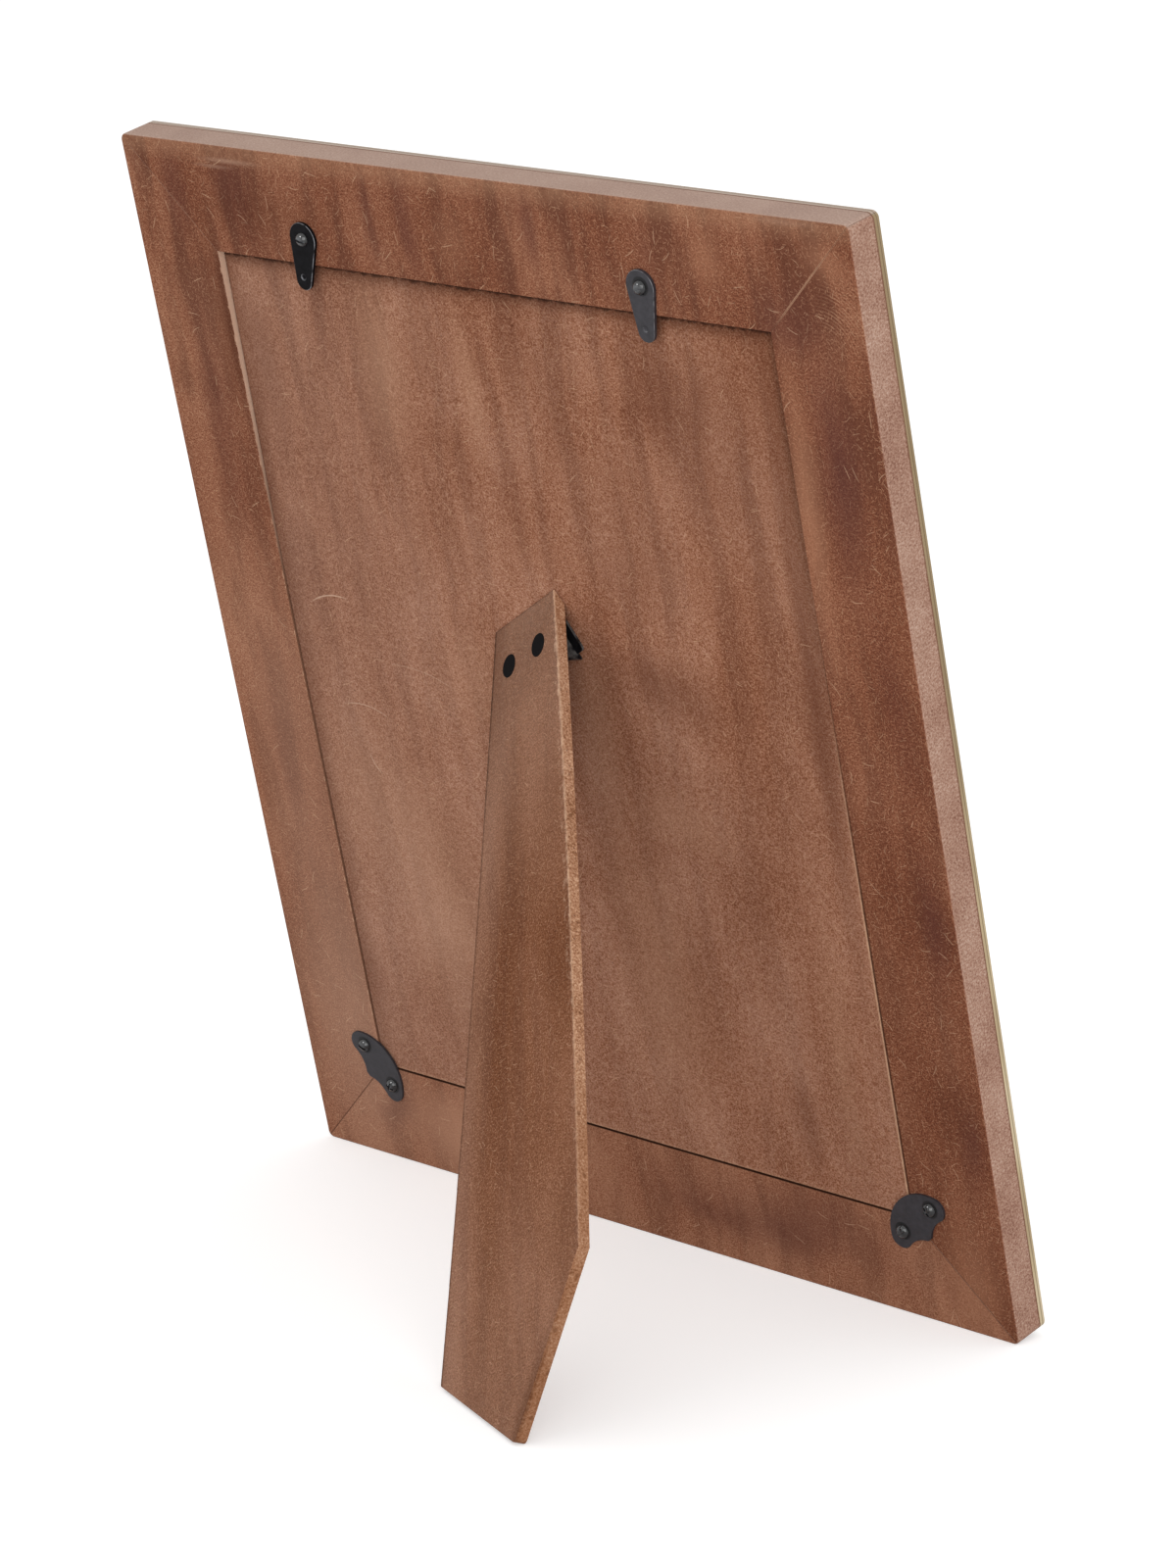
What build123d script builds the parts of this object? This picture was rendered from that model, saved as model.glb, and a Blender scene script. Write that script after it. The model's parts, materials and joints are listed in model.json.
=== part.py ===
from build123d import *
import os
from math import atan2, cos, degrees, radians, sin, sqrt

os.makedirs("parts", exist_ok=True)

# A free-standing picture frame that leans back on a hinged easel leg.
# Sizes are in millimetres, angles in degrees.

# Stance: the lean of the upright frame, and of the frame turned on its right side
lean_angle = 13.45
landscape_lean_angle = 18.0

# Print and pane
print_width = 203.2
print_height = 254.0
print_thickness = 0.3
print_clearance = 1.3
pane_thickness = 2.0
pane_clearance = 0.6
stack_gap = 0.05

# Frame rails and the facing glued to their front
rail_width = 31.6
lip_width = 5.0
lip_thickness = 2.6
facing_thickness = 2.3
facing_lap = 1.0
corner_radius = 2.0
edge_radius = 0.7
mitre_gap = 0.08
mitre_overrun = 4.0

# Back, bent a little inwards above the hinge, where the turn buttons press it
board_thickness = 2.8
board_clearance = 0.5
board_recess = 0.35
board_top_recess = 1.9
board_bend_rise = 24.2
board_bend_radius = 1200.0

# Round-head wood screws
screw_head_radius = 2.1
screw_head_height = 1.5
screw_shank_radius = 1.1
screw_length = 7.5
screw_tip_length = 2.0
slot_width = 0.7
slot_depth = 0.8
cross_length = 2.8
pilot_clearance = 0.02

# Turn buttons on the top rail
button_thickness = 1.0
button_wide_radius = 4.8
button_narrow_radius = 2.85
button_centres = 12.4
button_rise = 7.6
button_left_inset = 37.2
button_right_inset = 42.7
button_left_turn = -11.6
button_right_turn = -1.7
button_edge_radius = 0.25
button_clearance = 0.1
button_bore_clearance = 0.06
dimple_radius = 1.4
dimple_depth = 0.4
dimple_inset = 1.0
button_slot_angle_left = -15.0
button_slot_angle_right = 20.0

# Corner plates across the bottom mitres, placed from the corners of the opening
plate_thickness = 0.7
plate_out = 1.5
plate_drop = 0.1
plate_left_turn = -7.4
plate_right_turn = -4.6
plate_rise = 7.3
plate_back_radius = 14.3
plate_lobe_radius = 3.6
lobe_x = 0.8
plate_tail_length = 6.4
plate_tail_half_width = 0.8
plate_bite_depth = 1.0
plate_screw_spacing = 14.5
plate_slot_angles = {"left": -30.0, "right": 30.0}

# Hinge: a bracket with two ears on the back, a leaf with a rolled knuckle on the leg
hinge_x = 2.4
hinge_rise = 20.9
hinge_axis_angle = 33.0
pivot_height = 6.15
sheet_thickness = 0.75
pin_radius = 0.8
pin_clearance = 0.05
pin_head_radius = 1.2
pin_head_length = 0.5
ear_radius = 1.3
ear_play = 0.3
ear_heel = 5.8
ear_toe = 4.0
base_half_width = 13.3
base_top = 7.8
base_bottom = 2.2
base_corner_radius = 1.0
leaf_margin = 0.2
leaf_length = 6.5

# Rivets of the leg and of the bracket
rivet_spacing = 15.4
rivet_shank_radius = 0.9
rivet_head_radius = 3.3
rivet_head_thickness = 0.6
rivet_head_proud = 0.15
rivet_tail_radius = 1.3
rivet_tail_thickness = 0.5
rivet_knuckle_gap = 0.15
bracket_rivet_spacing = 9.0
bracket_rivet_offset = 3.4
bracket_rivet_head_radius = 2.2
bracket_rivet_head_thickness = 0.7

# Leg
open_angle = 37.6
leg_thickness = 3.4
leg_top_left = 15.1
leg_top_right = 15.8
leg_top_overrun = 8.0
leg_foot_width = 46.0
leg_side_foot_width = 54.4
leg_left_bow = 1.4
leg_right_bow = 1.8
leg_toe_radius = 1.6
leg_corner_radius = 0.8
leg_edge_radius = 0.35
stop_clearance = 0.15

# Sizes that follow from these
opening_width = print_width + 2 * print_clearance
opening_height = print_height + 2 * print_clearance
frame_width = opening_width + 2 * rail_width
frame_height = opening_height + 2 * rail_width
rebate_depth = board_top_recess + board_thickness + print_thickness + pane_thickness + 3 * stack_gap
rail_thickness = rebate_depth + lip_thickness
lip_opening = (opening_width - 2 * lip_width, opening_height - 2 * lip_width)
sight_opening = (lip_opening[0] - 2 * facing_lap, lip_opening[1] - 2 * facing_lap)
frame_depth = rail_thickness + facing_thickness
dome_radius = (screw_head_radius**2 + screw_head_height**2) / (2 * screw_head_height)
dome_start = degrees(atan2(dome_radius - screw_head_height, screw_head_radius))
button_left_x = button_left_inset - opening_width / 2
button_right_x = opening_width / 2 - button_right_inset
button_height = frame_height - rail_width + button_rise
hinge_y = frame_height / 2 + hinge_rise
board_bend_height = hinge_y + board_bend_rise
knuckle_radius = pin_radius + pin_clearance + sheet_thickness
rivet_offset = knuckle_radius + rivet_tail_radius + rivet_knuckle_gap
leaf_half_width = rivet_spacing / 2 + rivet_tail_radius + leaf_margin
ear_inner_half_span = leaf_half_width + ear_play
ear_outer_half_span = ear_inner_half_span + sheet_thickness
lean = radians(lean_angle)
edge_lift = edge_radius * (cos(lean) + sin(lean) - 1)


def leaning_back(edge_y):
    """Back face of the frame: x right as seen from behind, y up the frame, z out of the back."""
    return Plane(origin=(0, edge_y, -edge_lift), x_dir=(-1, 0, 0), z_dir=(0, cos(lean), -sin(lean)))


def hinge_seat(back_face):
    """The back under the hinge: x along the pin, y up across it, z out of the back."""
    return Plane(back_face.location * Location((hinge_x, hinge_y, 0), (0, 0, hinge_axis_angle)))


def open_leg(back_face):
    """The open leg, from the pin: x along the pin, y up the leg, z towards its outer face."""
    return Plane(hinge_seat(back_face).location * Location((0, 0, pivot_height), (-open_angle, 0, 0)))


def cross_section(plane):
    """The plane's y and z as a drawing plane, seen along its x."""
    return Plane(origin=plane.origin, x_dir=plane.y_dir, z_dir=plane.x_dir)


def heading(line, guide):
    """The line's direction, turned to go the way of the guide."""
    return line.direction if line.direction.dot(guide) > 0 else -line.direction


# The foot's corner lies where the table of each stance meets the inner face of the leg.
# It is found first with the back's bottom edge at y = 0, to centre the whole on the origin.
trial_back = leaning_back(0)
trial_leg = open_leg(trial_back).offset(knuckle_radius)
side_tilt = (0, 90 - landscape_lean_angle, 0)
trial_side = Plane(trial_back.location * Location((frame_width / 2, 0, 0), side_tilt))
table_line = trial_leg.intersect(Plane.XY)
side_line = trial_leg.intersect(trial_side)
foot_corner = table_line.intersect(trial_side)
foot_way = heading(table_line, -trial_leg.x_dir)
side_way = heading(side_line, trial_leg.y_dir)
foot_end = foot_corner + foot_way * leg_foot_width
side_corner = foot_corner + side_way * leg_side_foot_width
foot_points = [trial_leg.to_local_coords(point) for point in (side_corner, foot_corner, foot_end)]

# How far the rounded toe reaches back and the front of the facing reaches forward
toe_half_angle = radians(foot_way.get_angle(side_way) / 2)
toe_centre = foot_corner + (foot_way + side_way).normalized() * (leg_toe_radius / sin(toe_half_angle))
slope = trial_leg.z_dir.Y
rear_reach = (
    toe_centre.Y
    + (leg_toe_radius - leg_edge_radius) * sqrt(1 - slope**2)
    + (leg_thickness - leg_edge_radius) * slope
    + leg_edge_radius
)
front_reach = edge_lift - frame_depth * cos(lean)

back = leaning_back(-(front_reach + rear_reach) / 2)
seat = hinge_seat(back)
leg = open_leg(back)
board_face = seat.offset(-board_recess)
out_of_back = Axis(back.origin, back.z_dir)

plate_x = opening_width / 2 + plate_out
plate_y = rail_width - plate_drop
plate_spots = {
    "left": Location((-plate_x, plate_y, 0), (0, 0, plate_left_turn - 135)),
    "right": Location((plate_x, plate_y, 0), (0, 0, plate_right_turn - 45)),
}
plate_screws = {
    name: [(spot * Location((0, side * plate_screw_spacing / 2, 0))).position for side in (1, -1)]
    for name, spot in plate_spots.items()
}
button_points = [(button_left_x, button_height), (button_right_x, button_height)]
screw_points = button_points + plate_screws["left"] + plate_screws["right"]
bracket_rivet_points = [(x * bracket_rivet_spacing / 2, bracket_rivet_offset) for x in (-1, 1)]
leg_rivet_points = [(x * rivet_spacing / 2, rivet_offset) for x in (-1, 1)]


def side_outline(side):
    """The ground one side of the frame covers, between its two mitre cuts."""
    half, high = frame_width / 2, frame_height
    out, inside = mitre_overrun, rail_width + lip_width + facing_lap + mitre_overrun
    across = [(half + out, high + out), (half - inside, high - inside)]
    if side == "top":
        right_end = across
        left_end = [(-x, y) for x, y in reversed(across)]
    elif side == "bottom":
        right_end = [(x, high - y) for x, y in across]
        left_end = [(-x, high - y) for x, y in reversed(across)]
    else:
        turn = 1 if side == "right" else -1
        right_end = [(turn * x, y) for x, y in across]
        left_end = [(turn * x, high - y) for x, y in reversed(across)]
    return right_end + left_end


def frame_side(side, opening):
    """Draws one mitred side of the frame, round an opening."""
    with Locations((0, frame_height / 2)):
        RectangleRounded(frame_width, frame_height, corner_radius)
        Rectangle(*opening, mode=Mode.SUBTRACT)
    with BuildSketch(mode=Mode.PRIVATE) as ground:
        Polygon(*side_outline(side), align=None)
        offset(amount=-mitre_gap / 2, kind=Kind.INTERSECTION)
    add(ground.sketch, mode=Mode.INTERSECT)


def is_outer(edge):
    """True for an edge on the outside of the frame."""
    spot = back.to_local_coords(edge.center())
    from_side = frame_width / 2 - abs(spot.X)
    from_end = min(spot.Y, frame_height - spot.Y)
    return min(from_side, from_end) < corner_radius


def round_head_screw(plane, slot_angle, crossed=False):
    """Adds a wood screw whose head sits on the plane."""
    with BuildSketch(cross_section(plane)) as profile:
        with BuildLine():
            Polyline(
                (0, screw_head_height),
                (0, -screw_length),
                (screw_shank_radius, -screw_length + screw_tip_length),
                (screw_shank_radius, 0),
                (screw_head_radius, 0),
            )
            CenterArc((0, screw_head_height - dome_radius), dome_radius, dome_start, 90 - dome_start)
        make_face()
    revolve(profile.sketch, axis=Axis(plane.origin, plane.z_dir))
    with BuildSketch(plane.offset(screw_head_height)) as slots:
        if crossed:
            Rectangle(cross_length, slot_width, rotation=slot_angle)
            Rectangle(slot_width, cross_length, rotation=slot_angle)
        else:
            Rectangle(2 * screw_head_radius, slot_width, rotation=slot_angle)
    extrude(slots.sketch, amount=-slot_depth, mode=Mode.SUBTRACT)


def save(part, name):
    """Labels a finished piece and writes it."""
    part.label = name
    export_step(part, f"parts/{name}.step")


# Rails, with the rebate and its lip, and pilot holes for the screws
for side in ("top", "bottom", "left", "right"):
    with BuildPart() as rail:
        with BuildSketch(back):
            frame_side(side, (opening_width, opening_height))
        extrude(amount=-rebate_depth)
        with BuildSketch(back.offset(-rebate_depth)):
            frame_side(side, lip_opening)
        extrude(amount=rebate_depth - rail_thickness)
        back_edges = rail.faces().sort_by(out_of_back)[-1].edges()
        fillet(back_edges.filter_by(is_outer), radius=edge_radius)
        with BuildSketch(back):
            with Locations(*screw_points):
                Circle(screw_shank_radius + pilot_clearance)
        extrude(amount=-screw_length, mode=Mode.SUBTRACT)
    save(rail.part, f"rail_{side}")

# Facing strips on the front of the rails
for side in ("top", "bottom", "left", "right"):
    with BuildPart() as facing:
        with BuildSketch(back.offset(-rail_thickness)):
            frame_side(side, sight_opening)
        extrude(amount=-facing_thickness)
        front_edges = facing.faces().sort_by(out_of_back)[0].edges()
        fillet(front_edges.filter_by(is_outer), radius=edge_radius)
    save(facing.part, f"facing_{side}")

# Glass pane against the lip
pane_back = stack_gap + pane_thickness - rebate_depth
with BuildPart() as glass_pane:
    with BuildSketch(back.offset(pane_back)):
        with Locations((0, frame_height / 2)):
            Rectangle(opening_width - 2 * pane_clearance, opening_height - 2 * pane_clearance)
    extrude(amount=-pane_thickness)
save(glass_pane.part, "glass_pane")

# Plain sheet in the place of the print
with BuildPart() as photo_insert:
    with BuildSketch(back.offset(pane_back + stack_gap)):
        with Locations((0, frame_height / 2)):
            Rectangle(print_width, print_height)
    extrude(amount=print_thickness)
save(photo_insert.part, "photo_insert")

# Back, flat up to the hinge and leaning in above it
board_bottom = rail_width + board_clearance
board_top = frame_height - rail_width - board_clearance
with BuildPart() as backboard:
    with BuildSketch(cross_section(back)):
        with BuildLine():
            outside = FilletPolyline(
                (board_bottom, -board_recess),
                (board_bend_height, -board_recess),
                (board_top, -board_top_recess),
                radius=board_bend_radius,
            )
            inside = FilletPolyline(
                (board_bottom, -board_recess - board_thickness),
                (board_bend_height, -board_recess - board_thickness),
                (board_top, -board_top_recess - board_thickness),
                radius=board_bend_radius - board_thickness,
            )
            Line(outside @ 0, inside @ 0)
            Line(outside @ 1, inside @ 1)
        make_face()
    extrude(amount=opening_width / 2 - board_clearance, both=True)
    with BuildSketch(board_face):
        with Locations(*bracket_rivet_points):
            Circle(rivet_shank_radius + pilot_clearance)
    extrude(amount=-board_thickness, mode=Mode.SUBTRACT)
save(backboard.part, "backboard")

# Turn buttons, a wide round end on the screw and a narrow one over the back
for name, x, turn, slot_angle in (
    ("left", button_left_x, button_left_turn, button_slot_angle_left),
    ("right", button_right_x, button_right_turn, button_slot_angle_right),
):
    button_base = Plane(back.location * Location((x, button_height, button_clearance), (0, 0, turn)))
    button_face = button_base.offset(button_thickness)
    with BuildPart() as turn_button:
        with BuildSketch(button_base):
            with BuildLine():
                CenterArc((0, 0), button_wide_radius, 0, 360)
                CenterArc((0, -button_centres), button_narrow_radius, 0, 360)
            make_hull()
            Circle(screw_shank_radius + button_bore_clearance, mode=Mode.SUBTRACT)
        extrude(amount=button_thickness)
        rim = turn_button.faces().sort_by(out_of_back)[-1].outer_wire().edges()
        fillet(rim, radius=button_edge_radius)
        dimple_spot = Location((0, -button_centres + dimple_inset, dimple_radius - dimple_depth))
        with Locations(button_face.location * dimple_spot):
            Sphere(dimple_radius, mode=Mode.SUBTRACT)
    save(turn_button.part, f"turn_button_{name}")

    with BuildPart() as button_screw:
        round_head_screw(button_face.offset(button_bore_clearance), slot_angle - turn)
    save(button_screw.part, f"turn_button_screw_{name}")

# Corner plates: a bowed back, a round lobe at each screw and a short tail on the mitre
plate_back_x = plate_back_radius - plate_rise
lobe_spread = sqrt((plate_back_radius - plate_lobe_radius) ** 2 - (plate_back_x - lobe_x) ** 2)
lobe_angle = degrees(atan2(lobe_spread, lobe_x - plate_back_x))
for name, spot in plate_spots.items():
    plate_base = Plane(back.location * spot)
    with BuildPart() as corner_plate:
        with BuildSketch(plate_base):
            with BuildLine():
                CenterArc((plate_back_x, 0), plate_back_radius, lobe_angle, 360 - 2 * lobe_angle)
                upper = CenterArc((lobe_x, lobe_spread), plate_lobe_radius, 0, lobe_angle)
                lower = CenterArc((lobe_x, -lobe_spread), plate_lobe_radius, -lobe_angle, lobe_angle)
                tail = Line(
                    (plate_tail_length, plate_tail_half_width),
                    (plate_tail_length, -plate_tail_half_width),
                )
                SagittaArc(upper @ 0, tail @ 0, -plate_bite_depth)
                SagittaArc(tail @ 1, lower @ 1, -plate_bite_depth)
            make_face()
        extrude(amount=plate_thickness)
        with BuildSketch(back):
            with Locations(*plate_screws[name]):
                Circle(screw_shank_radius + pilot_clearance)
        extrude(amount=plate_thickness, mode=Mode.SUBTRACT)
    save(corner_plate.part, f"corner_plate_{name}")

    with BuildPart() as corner_screws:
        for crossed, point in zip((True, False), plate_screws[name]):
            head_seat = Plane(back.location * Location((point.X, point.Y, plate_thickness)))
            round_head_screw(head_seat, plate_slot_angles[name], crossed)
    save(corner_screws.part, f"corner_screws_{name}")

# Hinge bracket on the back: a base with an ear at each side
with BuildPart() as hinge_board_bracket:
    with BuildSketch(board_face):
        with Locations((0, (base_top - base_bottom) / 2)):
            RectangleRounded(2 * base_half_width, base_top + base_bottom, base_corner_radius)
    extrude(amount=sheet_thickness)
    for edge_of_ear in (-ear_outer_half_span, ear_inner_half_span):
        with BuildSketch(cross_section(seat).offset(edge_of_ear)):
            with BuildLine():
                CenterArc((0, pivot_height), ear_radius, 0, 360)
                Line((ear_heel, -board_recess), (-ear_toe, -board_recess))
            make_hull()
        extrude(amount=sheet_thickness)
    with BuildSketch(cross_section(seat)):
        with Locations((0, pivot_height)):
            Circle(pin_radius + pilot_clearance)
    extrude(amount=ear_outer_half_span, both=True, mode=Mode.SUBTRACT)
    with BuildSketch(board_face):
        with Locations(*bracket_rivet_points):
            Circle(rivet_shank_radius + pilot_clearance)
    extrude(amount=sheet_thickness, mode=Mode.SUBTRACT)
save(hinge_board_bracket.part, "hinge_board_bracket")

# Rivets that hold the bracket to the back
with BuildPart() as bracket_rivets:
    with BuildSketch(board_face.offset(sheet_thickness)):
        with Locations(*bracket_rivet_points):
            Circle(bracket_rivet_head_radius)
    extrude(amount=bracket_rivet_head_thickness)
    with BuildSketch(board_face.offset(sheet_thickness)):
        with Locations(*bracket_rivet_points):
            Circle(rivet_shank_radius)
    extrude(amount=-sheet_thickness - board_thickness)
    with BuildSketch(board_face.offset(-board_thickness)):
        with Locations(*bracket_rivet_points):
            Circle(rivet_tail_radius)
    extrude(amount=-rivet_tail_thickness)
save(bracket_rivets.part, "bracket_rivets")

# Pin through the ears, headed at both ends
with BuildPart() as hinge_pin:
    with BuildSketch(cross_section(leg)):
        Circle(pin_radius)
    extrude(amount=ear_outer_half_span, both=True)
    for end, way in ((ear_outer_half_span, 1), (-ear_outer_half_span, -1)):
        with BuildSketch(cross_section(leg).offset(end)):
            Circle(pin_head_radius)
        extrude(amount=way * pin_head_length)
save(hinge_pin.part, "hinge_pin")

# Leaf on the inner face of the leg, rolled round the pin
with BuildPart() as hinge_leg_leaf:
    with BuildSketch(cross_section(leg)):
        Circle(knuckle_radius)
        with Locations((0, knuckle_radius)):
            Rectangle(leaf_length, sheet_thickness, align=(Align.MIN, Align.MAX))
        Circle(pin_radius + pin_clearance, mode=Mode.SUBTRACT)
    extrude(amount=leaf_half_width, both=True)
    with BuildSketch(leg.offset(knuckle_radius)):
        with Locations(*leg_rivet_points):
            Circle(rivet_shank_radius + pilot_clearance)
    extrude(amount=-sheet_thickness, mode=Mode.SUBTRACT)
save(hinge_leg_leaf.part, "hinge_leg_leaf")

# Leg: tapered outline, foot cut for both stances, top bevelled to stop flat on the back
leg_inner = leg.offset(knuckle_radius)
leg_outer = leg_inner.offset(leg_thickness)
stop_plane = board_face.offset(stop_clearance)
leg_reach = knuckle_radius + leg_thickness
leg_rise = pivot_height + board_recess - stop_clearance + leg_reach * cos(radians(open_angle))
leg_top = leg_rise / sin(radians(open_angle))
across_leg = Axis(leg.origin, leg.z_dir)
up_leg = Axis(leg.origin, leg.y_dir)
top_left = (-leg_top_left, leg_top)
top_right = (leg_top_right, leg_top)
with BuildPart() as easel_leg:
    with BuildSketch(leg_inner):
        with BuildLine():
            side_point, corner_point, end_point = [(point.X, point.Y) for point in foot_points]
            Polyline(
                top_left,
                (-leg_top_left, leg_top + leg_top_overrun),
                (leg_top_right, leg_top + leg_top_overrun),
                top_right,
            )
            SagittaArc(top_right, side_point, leg_right_bow)
            Polyline(side_point, corner_point, end_point)
            SagittaArc(end_point, top_left, -leg_left_bow)
        make_face()
    extrude(amount=leg_thickness)
    split(bisect_by=stop_plane, keep=Keep.TOP)
    uprights = easel_leg.edges().filter_by(across_leg).sort_by(up_leg)
    fillet(uprights[0], radius=leg_toe_radius)
    uprights = easel_leg.edges().filter_by(across_leg).sort_by(up_leg)
    fillet(uprights[2:4], radius=leg_corner_radius)
    outer_rim = easel_leg.faces().sort_by(across_leg)[-1].outer_wire().edges()
    fillet(outer_rim, radius=leg_edge_radius)
    with BuildSketch(leg_inner):
        with Locations(*leg_rivet_points):
            Circle(rivet_shank_radius + pilot_clearance)
    extrude(amount=leg_thickness, mode=Mode.SUBTRACT)
    with BuildSketch(leg_outer):
        with Locations(*leg_rivet_points):
            Circle(rivet_head_radius + pilot_clearance)
    extrude(amount=rivet_head_proud - rivet_head_thickness, mode=Mode.SUBTRACT)
save(easel_leg.part, "easel_leg")

# Rivets through the leg and its leaf, heads let in nearly flush
with BuildPart() as leg_rivets:
    with BuildSketch(leg_outer.offset(rivet_head_proud)):
        with Locations(*leg_rivet_points):
            Circle(rivet_head_radius)
    extrude(amount=-rivet_head_thickness)
    head_rims = leg_rivets.faces().group_by(across_leg)[-1].edges()
    fillet(head_rims, radius=rivet_head_proud)
    with BuildSketch(leg_outer):
        with Locations(*leg_rivet_points):
            Circle(rivet_shank_radius)
    extrude(amount=-leg_thickness - sheet_thickness)
    with BuildSketch(leg_inner.offset(-sheet_thickness)):
        with Locations(*leg_rivet_points):
            Circle(rivet_tail_radius)
    extrude(amount=-rivet_tail_thickness)
save(leg_rivets.part, "leg_rivets")
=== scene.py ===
import json
from math import cos, pi, radians, sin

import bpy
from mathutils import Matrix, Vector

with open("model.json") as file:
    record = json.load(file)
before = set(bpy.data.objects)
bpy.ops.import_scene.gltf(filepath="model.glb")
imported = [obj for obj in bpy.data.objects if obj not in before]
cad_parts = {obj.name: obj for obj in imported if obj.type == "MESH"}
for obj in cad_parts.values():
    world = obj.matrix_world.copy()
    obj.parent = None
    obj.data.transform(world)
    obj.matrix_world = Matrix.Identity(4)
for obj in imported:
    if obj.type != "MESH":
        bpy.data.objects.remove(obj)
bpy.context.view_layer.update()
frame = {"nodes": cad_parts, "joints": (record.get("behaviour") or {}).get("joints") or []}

nodes = frame["nodes"]
scene = bpy.context.scene

# The leaning back of the frame and the open leg, in the units of the drawing.
# Patterns are laid out in millimetres on these two, so that each keeps its real size.
MM = 0.001
LEAN = radians(13.45)
FRAME_WIDTH, FRAME_HEIGHT, RAIL_WIDTH = 269.0, 319.8, 31.6
OPENING = (FRAME_WIDTH - 2 * RAIL_WIDTH, FRAME_HEIGHT - 2 * RAIL_WIDTH)
RAIL_THICKNESS = 9.75
BACK_ORIGIN = (0, -67.3401, -0.143619)

# Heights on the back between which a finish or a painted shade comes or goes
RAIL_STREAKS_FROM, RAIL_STREAKS_TO = 180, 290
BACK_STREAKS_FROM, BACK_STREAKS_TO = 120, 290
RAW_WALL_FROM, RAW_WALL_TO = 185, 245
GAP_FROM, GAP_TO = 190, 130
SUNKEN_FROM, SUNKEN_TO = 170, 260
FLUSH_FROM, FLUSH_TO = 185, 110
FACING_SHADE_MIDDLE = 170.0

# Sanding marks: the centre of their rings, and the corner and reach of the patch they fill
RING_CENTRE, SANDED_CORNER = (120.0, 284.5, 0), (129.5, 295.0, 0)
SANDED_FULL, SANDED_GONE = 4, 12

# Facing: the seam that shows along its edge, in front of the rails
SEAM_DEPTH = 1.0

# Leg, on its hinge: its open angle, the plane of its face, and the lines of its edges
LEG_OPEN = radians(37.6)
LEG_FACE = 5.0
LEG_TOP, LEG_LEFT, LEG_FLARE = 16.9, 16.2, 0.1466
LEG_BOW, LEG_MIDDLE, LEG_HALF = 1.4, -87.0, 104.0
LEG_RIGHT, LEG_TAPER = 16.6, 0.0495
SLANT_NORMAL, SLANT_REACH = (-0.8, 0.599, 0), 123.8

# Heights on the leg between which a finish or a painted shade comes or goes
LEG_ABOVE, LEG_BELOW = 20, -217
TOP_FROM, TOP_TO = -35, 5
LOW_FROM, LOW_TO = -112, -142
FOOT_FROM, FOOT_TO = -168, -176
TOE_FROM, TOE_TO = -178, -204
FRAYED_FROM, FRAYED_TO = -130, -30

# Seats of the screws that get a painted shadow ring on the grey steel, and the ring's reach
SEATS = (
    (60.6, 296.2, 1.1), (-99.6, 26.1, 1.0), (-108.5, 37.6, 1.0), (110.3, 36.5, 1.0), (99.2, 27.2, 1.0),
)
SEAT_SHADOW_FULL, SEAT_SHADOW_GONE = 2.5, 2.9

# Stage: places in metres, lens and sensor in millimetres.
# The camera was fitted to the frame's corners in the photograph
FLOOR_SIZE = 12.0
SENSOR_WIDTH, LENS, CLIP_START = 36.0, 122.095, 0.01
CAMERA_PLACE = (-0.98544, 0.98929, 0.49634)
CAMERA_RIGHT = (-0.7231, -0.69078, -0.00311)
CAMERA_AHEAD = (0.6704, -0.70075, -0.24389)

back_x = Vector((-1, 0, 0))
back_y = Vector((0, sin(LEAN), cos(LEAN)))
back_z = Vector((0, cos(LEAN), -sin(LEAN)))
back_origin = Vector(BACK_ORIGIN) * MM

hinge = next(joint for joint in frame["joints"] if joint["name"] == "leg_hinge")
leg_x = Vector(hinge["axis"])
leg_rise = back_z.cross(leg_x)
leg_y = cos(LEG_OPEN) * leg_rise - sin(LEG_OPEN) * back_z
leg_z = sin(LEG_OPEN) * leg_rise + cos(LEG_OPEN) * back_z
leg_origin = Vector(hinge["pos_m"])


def colour(code):
    """A linear colour from its sRGB hex."""
    parts = [int(code[i:i + 2], 16) / 255 for i in (1, 3, 5)]
    return tuple(c / 12.92 if c <= 0.04045 else ((c + 0.055) / 1.055) ** 2.4 for c in parts) + (1.0,)


def add(tree, kind, inputs=None, stops=None, **settings):
    """Adds a node, its settings, and for each input a value or the node or socket that feeds it."""
    node = tree.nodes.new("ShaderNode" + kind)
    for name, value in settings.items():
        setattr(node, name, value)
    if stops:
        ramp = node.color_ramp.elements
        while len(ramp) < len(stops):
            ramp.new(1.0)
        for element, (place, code) in zip(ramp, stops):
            element.position = place
            element.color = colour(code)
    live = [socket for socket in node.inputs if socket.enabled]
    for key, value in (inputs or {}).items():
        socket = live[key] if isinstance(key, int) else next(s for s in live if s.name == key)
        if isinstance(value, bpy.types.Node):
            value = next(s for s in value.outputs if s.enabled)
        if isinstance(value, bpy.types.NodeSocket):
            tree.links.new(value, socket)
        else:
            socket.default_value = value
    return node


def new_material(name):
    """An empty node material and its tree."""
    made = bpy.data.materials.new(name)
    made.use_nodes = True
    made.node_tree.nodes.clear()
    return made, made.node_tree


def laid_out(tree, origin, axes):
    """Object coordinates in millimetres on a plane, and the surface's normal on the same axes."""
    spot = add(tree, "TexCoord")
    turn = Matrix(axes).transposed().to_euler()
    place = add(
        tree, "Mapping",
        {"Vector": spot.outputs["Object"], "Location": origin, "Rotation": turn, "Scale": (MM, MM, MM)},
        vector_type="TEXTURE",
    )
    normal = add(
        tree, "Mapping",
        {"Vector": spot.outputs["Normal"], "Rotation": turn},
        vector_type="TEXTURE",
    )
    return place, normal


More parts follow.
